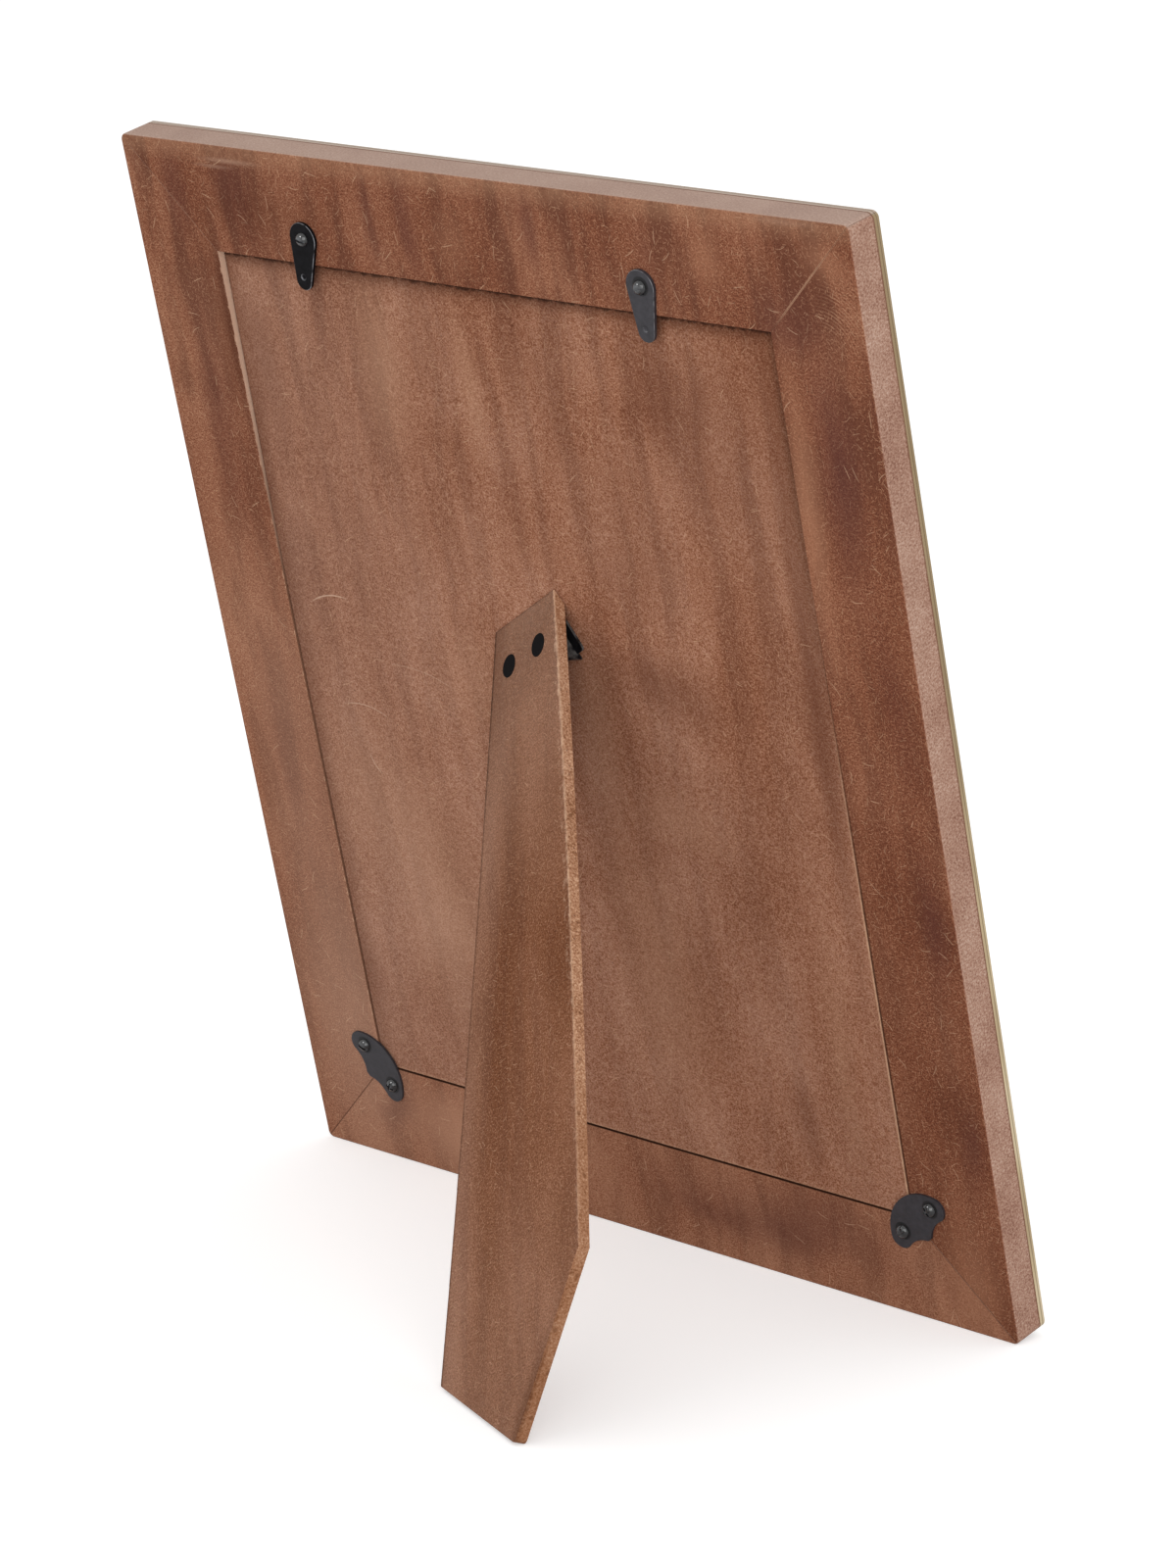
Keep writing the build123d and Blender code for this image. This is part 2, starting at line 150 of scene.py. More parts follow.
def fibres(tree, place, cell, width, share, seed):
    """Short curved hairs, one to a cell and each turned its own way: 1 on a hair, 0 beside it."""
    moved = add(tree, "VectorMath", {0: place, 1: (seed * 37.0, seed * 91.0, 0)}, operation="ADD")
    cells = add(tree, "TexVoronoi", {"Vector": moved, "Scale": 1 / cell}, voronoi_dimensions="2D")
    chance = add(tree, "SeparateColor", {"Color": cells.outputs["Color"]})
    apart = add(tree, "VectorMath", {0: moved, 1: cells.outputs["Position"]}, operation="SUBTRACT")
    angle = add(tree, "Math", {0: chance.outputs[0], 1: 2 * pi}, operation="MULTIPLY")
    turned = add(tree, "VectorRotate", {"Vector": apart, "Angle": angle}, rotation_type="Z_AXIS")
    along = add(tree, "SeparateXYZ", {0: turned})
    squared = add(tree, "Math", {0: along.outputs[0], 1: along.outputs[0]}, operation="MULTIPLY")
    curl = add(
        tree, "MapRange",
        {"Value": chance.outputs[2], "To Min": -0.45 / cell, "To Max": 0.45 / cell},
    )
    bent = add(
        tree, "Math", {0: squared, 1: curl, 2: along.outputs[1]}, operation="MULTIPLY_ADD"
    )
    off_line = add(tree, "Math", {0: bent}, operation="ABSOLUTE")
    line = add(
        tree, "MapRange",
        {"Value": off_line, "From Min": width / 2, "From Max": width, "To Min": 1, "To Max": 0},
        interpolation_type="SMOOTHSTEP",
    )
    off_end = add(tree, "Math", {0: along.outputs[0]}, operation="ABSOLUTE")
    end = add(
        tree, "MapRange",
        {"Value": off_end, "From Min": 0.22 * cell, "From Max": 0.5 * cell, "To Min": 1, "To Max": 0},
        interpolation_type="SMOOTHSTEP",
    )
    there = add(tree, "Math", {0: chance.outputs[1], 1: share}, operation="LESS_THAN")
    hair = add(tree, "Math", {0: line, 1: end}, operation="MULTIPLY")
    return add(tree, "Math", {0: hair, 1: there}, operation="MULTIPLY")


def specks(tree, place, cell, radius, share):
    """Round pits or flecks, one to a cell in some of the cells: 1 on a fleck, 0 beside it."""
    cells = add(tree, "TexVoronoi", {"Vector": place, "Scale": 1 / cell})
    chance = add(tree, "SeparateColor", {"Color": cells.outputs["Color"]})
    there = add(tree, "Math", {0: chance.outputs[0], 1: share}, operation="LESS_THAN")
    dot = add(
        tree, "MapRange",
        {"Value": cells.outputs["Distance"], "From Min": 0.4 * radius / cell, "From Max": radius / cell,
         "To Min": 1, "To Max": 0},
        interpolation_type="SMOOTHSTEP",
    )
    return add(tree, "Math", {0: dot, 1: there}, operation="MULTIPLY")


def clouded(tree, place, size, detail=2.0, roughness=0.5, low=0.3, high=0.7):
    """Soft clouds from 0 to 1, of the given width, height and depth in millimetres."""
    scaled = add(
        tree, "VectorMath", {0: place, 1: tuple(1 / s for s in size)}, operation="MULTIPLY"
    )
    cloud = add(
        tree, "TexNoise", {"Vector": scaled, "Scale": 1.0, "Detail": detail, "Roughness": roughness}
    )
    return add(tree, "MapRange", {"Value": cloud, "From Min": low, "From Max": high})


def weighed(tree, *pairs):
    """The sum of several patterns, each about its middle and times its weight, about 0.5."""
    total = 0.5
    for pattern, weight in pairs:
        centred = add(tree, "Math", {0: pattern, 1: 0.5}, operation="SUBTRACT")
        total = add(tree, "Math", {0: centred, 1: weight, 2: total}, operation="MULTIPLY_ADD")
    return total


def tinted(tree, below, code, cover, strength):
    """A colour laid over another where the cover is, at a strength."""
    share = add(tree, "Math", {0: cover, 1: strength}, operation="MULTIPLY", use_clamp=True)
    return add(
        tree, "Mix", {"Factor": share, "A": below, "B": colour(code)}, data_type="RGBA"
    )


def lined(tree, below, code, distance, full, gone, strength, broken=None):
    """A colour laid over another: whole up to one distance, gone by the next, broken by a pattern."""
    cover = add(
        tree, "MapRange",
        {"Value": distance, "From Min": full, "From Max": gone, "To Min": 1, "To Max": 0},
        interpolation_type="SMOOTHSTEP",
    )
    if broken is not None:
        cover = add(tree, "Math", {0: cover, 1: broken}, operation="MULTIPLY")
    return tinted(tree, below, code, cover, strength)


def blotched(tree, below, place, code, blotches):
    """Soft stains laid over a face, each with its middle, half width, half height and strength."""
    for x, y, half_wide, half_high, strength in blotches:
        near = add(
            tree, "Mapping",
            {"Vector": place, "Location": (x, y, 0), "Scale": (half_wide, half_high, 1000.0)},
            vector_type="TEXTURE",
        )
        distance = add(tree, "VectorMath", {0: near}, operation="LENGTH")
        below = lined(tree, below, code, distance, 0.0, 1.0, strength)
    return below


def scratched(tree, below, place, code, scratches):
    """Fine bent scratches, each with its middle, the centre of its bend, half length and strength."""
    for middle, centre, half_length, strength in scratches:
        radius = (Vector(middle) - Vector(centre)).length
        bend = add(tree, "VectorMath", {0: place, 1: (*centre, 0)}, operation="DISTANCE")
        off_line = add(tree, "Math", {0: bend, 1: radius}, operation="SUBTRACT")
        off_line = add(tree, "Math", {0: off_line}, operation="ABSOLUTE")
        along = add(tree, "VectorMath", {0: place, 1: (*middle, 0)}, operation="DISTANCE")
        fading = add(
            tree, "MapRange",
            {"Value": along, "From Min": 0.5 * half_length, "From Max": half_length,
             "To Min": 1, "To Max": 0},
        )
        below = lined(tree, below, code, off_line, 0.1, 0.3, strength, fading)
    return below


def swayed(tree, place):
    """The same place pushed about by slow noise, so that what is laid on it wanders."""
    sway = add(tree, "TexNoise", {"Vector": place, "Scale": 1 / 45, "Detail": 1.0})
    sway = add(
        tree, "VectorMath", {0: sway.outputs["Color"], 1: (0.5, 0.5, 0.5)}, operation="SUBTRACT"
    )
    return add(
        tree, "VectorMath", {0: sway, 1: (9.0, 30.0, 0), 2: place}, operation="MULTIPLY_ADD"
    )


def stained_face(tree, place, wander, shift, stops, streak, streak_strength, hair_strength, felting):
    """The stained face of fibreboard: soft dark stain streaks, clouds, a felted grain and stray fibres.

    Gives its colour and its relief. The felt is drawn coarser than life so that it shows."""
    streaks = clouded(tree, wander, streak, detail=2.0)
    clouds = clouded(tree, wander, (30.0, 52.0, 36.0), detail=3.0)
    mottle = clouded(tree, place, (1.6, 2.2, 1.6), detail=2.0)
    grain = clouded(tree, place, (0.5, 0.5, 0.5), detail=2.0, roughness=0.7)
    tone = weighed(tree, (clouds, 0.36), (mottle, 0.14), (grain, felting))
    tone = add(tree, "Math", {0: tone, 1: shift}, operation="ADD")
    face = add(tree, "ValToRGB", {0: tone}, stops=stops)
    face = lined(tree, face, "#543024", streaks, 0.05, 0.75, streak_strength)
    flecks = specks(tree, place, cell=2.6, radius=0.36, share=0.26)
    face = tinted(tree, face, "#381d12", flecks, 0.5)
    felt = fibres(tree, place, cell=1.4, width=0.14, share=0.75, seed=1)
    face = tinted(tree, face, "#cf9f7d", felt, 0.28)
    hairs = fibres(tree, place, cell=3.4, width=0.12, share=0.2, seed=2)
    face = tinted(tree, face, "#d6ae8d", hairs, hair_strength)
    relief = add(tree, "Math", {0: felt, 1: 0.5, 2: grain}, operation="MULTIPLY_ADD")
    return face, relief


def sawn_edge(tree, place, stops, pit_strength):
    """The cut edge of fibreboard, which soaks up less stain: paler, granular and pitted."""
    grain = clouded(tree, place, (0.6, 0.6, 0.6), detail=3.0, roughness=0.75)
    clouds = clouded(tree, place, (14.0, 14.0, 14.0), detail=2.0)
    tone = weighed(tree, (grain, 0.85), (clouds, 0.25))
    edge = add(tree, "ValToRGB", {0: tone}, stops=stops)
    pits = specks(tree, place, cell=1.4, radius=0.38, share=0.34)
    edge = tinted(tree, edge, "#644030", pits, pit_strength)
    return edge


def beyond(tree, x, y, half_wide, half_high):
    """Distances past the sides and past the ends of a rectangle about the middle of the frame."""
    aside = add(tree, "Math", {0: x}, operation="ABSOLUTE")
    from_middle = add(tree, "Math", {0: y, 1: FRAME_HEIGHT / 2}, operation="SUBTRACT")
    from_middle = add(tree, "Math", {0: from_middle}, operation="ABSOLUTE")
    past_side = add(tree, "Math", {0: aside, 1: half_wide}, operation="SUBTRACT")
    past_end = add(tree, "Math", {0: from_middle, 1: half_high}, operation="SUBTRACT")
    return past_side, past_end


def board_shader(tree, edge, face, out, relief, roughness):
    """Matt board with a faint nap: the face where it looks out of the sheet, the sawn edge elsewhere."""
    broad = add(tree, "Math", {0: out}, operation="ABSOLUTE")
    broad = add(
        tree, "MapRange", {"Value": broad, "From Min": 0.45, "From Max": 0.85},
        interpolation_type="SMOOTHSTEP",
    )
    base = add(tree, "Mix", {"Factor": broad, "A": edge, "B": face}, data_type="RGBA")
    bump = add(tree, "Bump", {"Strength": 0.35, "Distance": 0.15 * MM, "Height": relief})
    shader = add(
        tree, "BsdfPrincipled",
        {"Base Color": base, "Roughness": roughness, "Specular IOR Level": 0.05, "Normal": bump},
    )
    add(tree, "OutputMaterial", {"Surface": shader})


back_axes = (back_x, back_y, back_z)
leg_axes = (leg_x, leg_y, leg_z)
half_width, half_height = FRAME_WIDTH / 2, FRAME_HEIGHT / 2
half_opening, half_opening_height = OPENING[0] / 2, OPENING[1] / 2
opening_low, opening_high = RAIL_WIDTH, RAIL_WIDTH + OPENING[1]

# Rails: medium-density fibreboard, stained after assembly with the stain drawn along the height.
# Each rail took the stain its own way: the right and the top ones darkest, the upper half most streaked
rails, tree = new_material("stained_fibreboard_rails")
place, normal = laid_out(tree, back_origin, back_axes)
wander = swayed(tree, place)
x, y, z = add(tree, "SeparateXYZ", {0: place}).outputs
_, out_y, out_z = add(tree, "SeparateXYZ", {0: normal}).outputs
past_side, past_end = beyond(tree, x, y, half_opening, half_opening_height)
off_mitre = add(tree, "Math", {0: past_end, 1: past_side}, operation="SUBTRACT")
is_end = add(tree, "Math", {0: off_mitre, 1: 0.0}, operation="GREATER_THAN")
across = add(
    tree, "MapRange",
    {"Value": x, "From Min": -half_width, "From Max": half_width, "To Min": 0.08, "To Max": -0.17},
)
upward = add(
    tree, "MapRange", {"Value": y, "From Min": 0, "From Max": FRAME_HEIGHT, "To Min": 0.24, "To Max": -0.09}
)
shift = add(tree, "Mix", {"Factor": is_end, "A": across, "B": upward}, data_type="FLOAT")
streaked = add(
    tree, "MapRange",
    {"Value": y, "From Min": RAIL_STREAKS_FROM, "From Max": RAIL_STREAKS_TO, "To Min": 0.34, "To Max": 0.62},
)
face, relief = stained_face(
    tree, place, wander, shift,
    ((0.05, "#5d3223"), (0.3, "#744530"), (0.5, "#85543e"), (0.7, "#94644c"), (0.95, "#a6775d")),
    streak=(8.0, 48.0, 40.0), streak_strength=streaked, hair_strength=0.32, felting=0.85,
)
face = blotched(tree, face, wander, "#55302a", (
    (-115, 302, 8, 24, 0.45), (-91, 304, 11, 20, 0.45), (-38, 304, 5, 18, 0.4), (-23, 304, 6, 22, 0.5),
    (22, 303, 5, 18, 0.5), (62, 303, 6, 18, 0.25), (109, 296, 16, 15, 0.5), (119, 253, 11, 52, 0.65),
    (125, 193, 8, 32, 0.25), (127, 124, 7, 36, 0.5), (128, 56, 7, 20, 0.45), (52, 18, 68, 19, 0.45),
    (22, 15, 22, 8, 0.2), (58, 16, 20, 13, 0.25), (-100, 18, 13, 11, 0.4), (-116, 238, 9, 44, 0.35),
    (-118, 130, 7, 42, 0.25),
))
face = blotched(tree, face, wander, "#aa785c", (
    (107, 245, 7, 60, 0.45), (-8, 300, 10, 14, 0.2), (84, 306, 10, 12, 0.3), (-66, 14, 36, 20, 0.65),
    (126, 311, 12, 10, 0.35), (121, 20, 16, 28, 0.4),
))
face = blotched(tree, face, place, "#4c2618", (
    (-106, 266, 6, 48, 0.5), (-104, 266, 2.5, 44, 0.6), (-80, 302, 34, 14, 0.25),
))
face = blotched(tree, face, place, "#b28f7a", (
    (-112, 50, 34, 90, 0.4), (-112, 140, 30, 80, 0.2), (-76, 14, 26, 28, 0.25),
    (-91, 315.5, 17, 1.2, 0.4), (-98, 313.5, 11, 0.9, 0.3), (112, 318.5, 16, 1.6, 0.25),
))

# The stain is rubbed thin along the top edge, and long hairs lie on it
rag = clouded(tree, place, (2.6, 2.6, 2.6), detail=3.0, roughness=0.7)
faint = add(tree, "Math", {0: rag, 1: 0.6, 2: 0.4}, operation="MULTIPLY_ADD")
to_rim = add(tree, "Math", {0: FRAME_HEIGHT, 1: y}, operation="SUBTRACT")
face = lined(tree, face, "#b58a6c", to_rim, 1.0, 7.5, 0.35, faint)
long_hairs = fibres(tree, place, cell=5.2, width=0.16, share=0.13, seed=3)
face = tinted(tree, face, "#d6b090", long_hairs, 0.36)

# Sanding at the upper right corner left fine round marks, a millimetre apart
ring_centre = add(tree, "VectorMath", {0: place, 1: RING_CENTRE}, operation="DISTANCE")
ring = add(tree, "Math", {0: ring_centre}, operation="FRACT")
ring = add(tree, "Math", {0: ring, 1: 0.5}, operation="SUBTRACT")
ring = add(tree, "Math", {0: ring}, operation="ABSOLUTE")
sanded = add(tree, "VectorMath", {0: place, 1: SANDED_CORNER}, operation="DISTANCE")
sanded = add(
    tree, "MapRange",
    {"Value": sanded, "From Min": SANDED_FULL, "From Max": SANDED_GONE, "To Min": 1, "To Max": 0},
)
sanded = add(tree, "Math", {0: sanded, 1: rag}, operation="MULTIPLY")
face = lined(tree, face, "#c49a7c", ring, 0.06, 0.28, 0.42, sanded)

# The top face of the edge is tinted paler and greyer, painted light from above. The walls of the opening
# stay raw and pale high up and are browner lower down, and the bottom wall of the opening is painted dark, a
# painted shadow in the gap. Low on the right a painted shadow of the gap lies along the walls' corner, and
# on the left crumbs of raw board stand along it
edge = sawn_edge(
    tree, place,
    ((0.1, "#7b5446"), (0.35, "#977160"), (0.65, "#ad8a78"), (0.9, "#bfa292")),
    pit_strength=0.4,
)
# Painted light: the top face, which looks up, is tinted paler and greyer
edge = lined(tree, edge, "#b09d92", out_y, 0.8, 0.5, 0.5)
past = add(tree, "Math", {0: past_side, 1: past_end}, operation="MAXIMUM")
edge = lined(tree, edge, "#7d5641", past, 0.05, 0.2, 0.9)
# Painted shadow: the upward-facing bottom wall of the opening is darkened as the shade in the gap
sill_shade = add(tree, "Math", {0: out_y, 1: 0.5}, operation="GREATER_THAN")
edge = lined(tree, edge, "#3a2115", past, 0.05, 0.2, 0.95, sill_shade)
raw = add(tree, "MapRange", {"Value": y, "From Min": RAW_WALL_FROM, "From Max": RAW_WALL_TO})
edge = lined(tree, edge, "#cca992", past, 0.05, 0.2, 0.95, raw)
on_right = add(tree, "Math", {0: x, 1: 0.0}, operation="GREATER_THAN")
beside = add(tree, "Math", {0: past_end, 1: 0.0}, operation="LESS_THAN")
# Painted shadow of the gap along the right wall's corner, fading out higher up
gap_shade = add(tree, "MapRange", {"Value": y, "From Min": GAP_FROM, "From Max": GAP_TO})
gap_shade = add(tree, "Math", {0: gap_shade, 1: on_right}, operation="MULTIPLY")
gap_shade = add(tree, "Math", {0: gap_shade, 1: beside}, operation="MULTIPLY")
face = lined(tree, face, "#2e170d", past, 0.25, 0.75, 0.75, gap_shade)
crumbs = add(tree, "MapRange", {"Value": rag, "From Min": 0.5, "From Max": 0.8})
on_left = add(tree, "Math", {0: x, 1: 0.0}, operation="LESS_THAN")
crumbs = add(tree, "Math", {0: crumbs, 1: on_left}, operation="MULTIPLY")
crumbs = add(tree, "Math", {0: crumbs, 1: beside}, operation="MULTIPLY")
face = lined(tree, face, "#cfa68a", past, 0.15, 0.6, 0.6, crumbs)

# Mitres: a fine line of dirt at the bottom, and rubbed pale at the top near the opening
off_mitre = add(tree, "Math", {0: off_mitre}, operation="ABSOLUTE")
is_top = add(tree, "Math", {0: y, 1: half_height}, operation="GREATER_THAN")
is_low = add(tree, "Math", {0: y, 1: half_height}, operation="LESS_THAN")
near_corner = add(
    tree, "MapRange", {"Value": past, "From Min": 17, "From Max": 24, "To Min": 1, "To Max": 0.25}
)
pale = add(tree, "Math", {0: is_top, 1: near_corner}, operation="MULTIPLY")
rightward = add(tree, "MapRange", {"Value": x, "From Min": -100, "From Max": 100, "To Min": 0.2})
pale = add(tree, "Math", {0: pale, 1: rightward}, operation="MULTIPLY")
started = add(tree, "MapRange", {"Value": past, "From Min": 2, "From Max": 7})
pale = add(tree, "Math", {0: pale, 1: started}, operation="MULTIPLY")
face = lined(tree, face, "#c1977a", off_mitre, 0.1, 0.55, 0.55, pale)
face = lined(tree, face, "#4a2a1c", off_mitre, 0.1, 0.4, 0.6, is_low)

# A dark glue line runs where the facing meets the rails
joint = add(tree, "Math", {0: z, 1: RAIL_THICKNESS}, operation="ADD")
edge = lined(tree, edge, "#6b4733", joint, 0.2, 0.7, 0.8)
board_shader(tree, edge, face, out_z, relief, roughness=0.72)

# Back: thin fibreboard, stained paler than the rails. Its left and upper edges are darker, partly gathered
# stain and partly painted shade where the rails stand over the recessed board, with painted shadow lines
# under the top rail and along the left edge. Its edge is rubbed pale low on the right, where it comes flush,
# and a little along its foot
board, tree = new_material("stained_fibreboard_back")
place, normal = laid_out(tree, back_origin, back_axes)
wander = swayed(tree, place)
x, y, _ = add(tree, "SeparateXYZ", {0: place}).outputs
out = add(tree, "SeparateXYZ", {0: normal}).outputs[2]
across = add(
    tree, "MapRange",
    {"Value": x, "From Min": -half_opening, "From Max": half_opening, "To Min": 0.04, "To Max": -0.02},
)
# Paler towards the foot and darker towards the top: painted light and painted shade that even out the
# lighting down the board
upward = add(
    tree, "MapRange",
    {"Value": y, "From Min": opening_low, "From Max": opening_high, "To Min": 0.08, "To Max": -0.06},
)
shift = add(tree, "Math", {0: across, 1: upward}, operation="ADD")
streaked = add(
    tree, "MapRange",
    {"Value": y, "From Min": BACK_STREAKS_FROM, "From Max": BACK_STREAKS_TO, "To Min": 0.18, "To Max": 0.42},
)
face, relief = stained_face(
    tree, place, wander, shift,
    ((0.05, "#6d3f2b"), (0.3, "#85553d"), (0.5, "#95664f"), (0.7, "#a2755e"), (0.95, "#b48872")),
    streak=(9.0, 75.0, 40.0), streak_strength=streaked, hair_strength=0.32, felting=0.85,
)
face = blotched(tree, face, wander, "#5a3324", (
    (-94, 253, 10, 38, 0.4), (2, 270, 5, 27, 0.2), (14, 262, 7, 36, 0.22), (57, 262, 8, 32, 0.4),
    (71, 262, 5, 26, 0.3), (80, 250, 34, 55, 0.3), (99, 172, 8, 115, 0.15), (44, 180, 32, 18, 0.45),
    (80, 145, 26, 40, 0.15), (23, 97, 18, 55, 0.1), (68, 52, 11, 27, 0.3), (38, 218, 24, 34, 0.25),
    (-97, 58, 8, 34, 0.25),
))
# Paler patches of stain; the one at (14, 160), beside the leg's top, is painted light that lifts the leg's
# shade there
face = blotched(tree, face, wander, "#b98f73", (
    (-46, 259, 13, 34, 0.3), (-14, 262, 7, 34, 0.25), (41, 142, 28, 9, 0.22), (86, 82, 8, 54, 0.2),
    (22, 90, 26, 70, 0.22), (-60, 90, 30, 60, 0.3), (14, 160, 12, 36, 0.2), (-82, 127, 32, 42, 0.2),
    (-30, 170, 26, 24, 0.15),
))
face = blotched(tree, face, place, "#5a3324", ((97, 205, 6.5, 150, 0.5),))
face = lined(tree, face, "#8a7368", x, -110.0, 10.0, 0.16)
face = scratched(tree, face, place, "#d2b29a", (
    ((-86.0, 186.3), (-82.0, 166.0), 8.5, 0.55), ((-78.5, 153.2), (-81.0, 131.0), 10.0, 0.35),
    ((-80.0, 134.5), (-68.0, 142.0), 4.0, 0.4), ((-52.0, 168.0), (-60.0, 120.0), 14.0, 0.2),
))
rag = clouded(tree, place, (2.5, 2.5, 2.5), detail=3.0, roughness=0.7)
long_hairs = fibres(tree, place, cell=5.2, width=0.16, share=0.1, seed=3)
face = tinted(tree, face, "#d6b090", long_hairs, 0.3)
aside = add(tree, "Math", {0: x}, operation="ABSOLUTE")
to_side = add(tree, "Math", {0: half_opening, 1: aside}, operation="SUBTRACT")
to_top = add(tree, "Math", {0: opening_high, 1: y}, operation="SUBTRACT")
to_foot = add(tree, "Math", {0: y, 1: opening_low}, operation="SUBTRACT")
to_edge = add(tree, "Math", {0: to_side, 1: to_top}, operation="MINIMUM")
on_left = add(tree, "Math", {0: x, 1: 0.0}, operation="LESS_THAN")
sunken_shade = add(tree, "MapRange", {"Value": y, "From Min": SUNKEN_FROM, "From Max": SUNKEN_TO})
shaded = add(tree, "Math", {0: on_left, 1: sunken_shade}, operation="MAXIMUM")
# Darker near the edges on the left and high up: partly gathered stain, partly painted shade of the rails
face = lined(tree, face, "#4f2a1a", to_edge, 0.5, 8.0, 0.34, shaded)
# Painted shade: a dark band along the right edge high up, where the board lies deepest below the rail
to_right = add(tree, "Math", {0: half_opening, 1: x}, operation="SUBTRACT")
face = lined(tree, face, "#3f2418", to_right, 0.6, 5.0, 0.5, sunken_shade)
# Painted shade: a dark band under the top rail
face = lined(tree, face, "#3f2418", to_top, 0.6, 5.0, 0.45)
# Painted shadow: a thin ragged dark line in the gap along the left edge
to_left = add(tree, "Math", {0: half_opening, 1: x}, operation="ADD")
face = lined(tree, face, "#2c170e", to_left, 0.6, 0.85, 0.6, rag)
faint = add(tree, "Math", {0: rag, 1: 0.6, 2: 0.4}, operation="MULTIPLY_ADD")
flush = add(tree, "MapRange", {"Value": y, "From Min": FLUSH_FROM, "From Max": FLUSH_TO})
flush = add(tree, "Math", {0: flush, 1: faint}, operation="MULTIPLY")
face = lined(tree, face, "#d3aa8a", to_right, 0.8, 1.4, 0.85, flush)
face = lined(tree, face, "#c79b7d", to_foot, 0.9, 1.5, 0.3, faint)
# Painted shadow: a ragged dark line right under the top rail's edge
ragged = add(tree, "Math", {0: rag, 1: 1.6, 2: 0.9}, operation="MULTIPLY_ADD")
shadow_under_top = add(tree, "Math", {0: to_top, 1: ragged}, operation="DIVIDE")
face = lined(tree, face, "#2c170e", shadow_under_top, 0.6, 1.1, 0.8)
edge = sawn_edge(
    tree, place,
    ((0.1, "#5a3a2a"), (0.35, "#7d573f"), (0.65, "#96705a"), (0.9, "#a98870")),
    pit_strength=0.5,
)
board_shader(tree, edge, face, out, relief, roughness=0.75)

# Leg: fibreboard with a hairy face gone grey with handling at its top and foot, and a sawn edge that is
# dented, with its corner furred with pale fibre. A dark rim round its face and a dark band along its slanted
# foot are painted shade
leg, tree = new_material("stained_fibreboard_leg")
place, normal = laid_out(tree, leg_origin, leg_axes)
wander = swayed(tree, place)
x, y, z = add(tree, "SeparateXYZ", {0: place}).outputs
out_x, _, out_z = add(tree, "SeparateXYZ", {0: normal}).outputs
down = add(tree, "MapRange", {"Value": y, "From Min": LEG_ABOVE, "From Max": LEG_BELOW})
worn = add(
    tree, "ValToRGB", {0: down},
    stops=((0.0, "#c4c4c4"), (0.28, "#b0b0b0"), (0.48, "#8f8f8f"), (0.66, "#b6b6b6"), (1.0, "#cacaca")),
)
shift = add(tree, "MapRange", {"Value": worn, "To Min": -0.3, "To Max": 0.3})
from_left = add(tree, "Math", {0: y, 1: -LEG_FLARE, 2: LEG_LEFT}, operation="MULTIPLY_ADD")
from_left = add(tree, "Math", {0: x, 1: from_left}, operation="ADD")
bow = add(tree, "Math", {0: y, 1: 1 / LEG_HALF, 2: -LEG_MIDDLE / LEG_HALF}, operation="MULTIPLY_ADD")
bow = add(tree, "Math", {0: bow, 1: bow}, operation="MULTIPLY")
from_left = add(tree, "Math", {0: bow, 1: LEG_BOW, 2: from_left}, operation="MULTIPLY_ADD")
at_top = add(tree, "MapRange", {"Value": y, "From Min": TOP_FROM, "From Max": TOP_TO})
lower = add(tree, "Math", {0: 1.0, 1: at_top}, operation="SUBTRACT")
bleached = add(
    tree, "MapRange", {"Value": from_left, "From Min": 3, "From Max": 18, "To Min": 0.17, "To Max": 0}
)
shift = add(tree, "Math", {0: bleached, 1: lower, 2: shift}, operation="MULTIPLY_ADD")
face, relief = stained_face(
    tree, place, wander, shift,
    ((0.05, "#5c331f"), (0.3, "#6f4329"), (0.5, "#80533a"), (0.7, "#8f6149"), (0.95, "#a2765f")),
    streak=(7.0, 60.0, 40.0), streak_strength=0.22, hair_strength=0.36, felting=0.9,
)
mottle = clouded(tree, place, (1.3, 1.6, 1.3), detail=3.0, roughness=0.65)
handled = add(
    tree, "ValToRGB", {0: down},
    stops=((0.0, "#ffffff"), (0.2, "#bbbbbb"), (0.42, "#000000"), (0.68, "#505050"), (1.0, "#d0d0d0")),
)
grey = add(tree, "Math", {0: mottle, 1: 0.5, 2: 0.5}, operation="MULTIPLY_ADD")
grey = add(tree, "Math", {0: handled, 1: grey}, operation="MULTIPLY")
face = tinted(tree, face, "#998171", grey, 0.42)
spots = specks(tree, place, cell=1.9, radius=0.42, share=0.3)
spots = add(tree, "Math", {0: spots, 1: handled}, operation="MULTIPLY")
face = tinted(tree, face, "#472a1e", spots, 0.6)
rag = clouded(tree, place, (1.8, 1.8, 1.8), detail=3.0, roughness=0.7)
from_top = add(tree, "Math", {0: LEG_TOP, 1: y}, operation="SUBTRACT")
face = lined(tree, face, "#5a3727", from_left, 0.0, 11.0, 0.5, at_top)
face = lined(tree, face, "#9c8375", from_left, 2.0, 18.0, 0.12, lower)
# Painted shade: a ragged dark rim round the top and left of the face
outer = add(tree, "Math", {0: from_left, 1: from_top}, operation="MINIMUM")
outline_shade = add(tree, "Math", {0: rag, 1: 0.6, 2: 0.4}, operation="MULTIPLY_ADD")
grimed = add(tree, "Math", {0: handled, 1: 0.4, 2: 0.6}, operation="MULTIPLY_ADD")
outline_shade = add(tree, "Math", {0: outline_shade, 1: grimed}, operation="MULTIPLY")
face = lined(tree, face, "#2b150c", outer, 0.5, 1.5, 1.0, outline_shade)
edge = sawn_edge(
    tree, place,
    ((0.1, "#683f29"), (0.35, "#976a4d"), (0.65, "#b98d6f"), (0.9, "#d6b092")),
    pit_strength=0.75,
)
foot_cut = add(tree, "MapRange", {"Value": y, "From Min": FOOT_FROM, "From Max": FOOT_TO})
toe = add(tree, "MapRange", {"Value": y, "From Min": TOE_FROM, "From Max": TOE_TO})
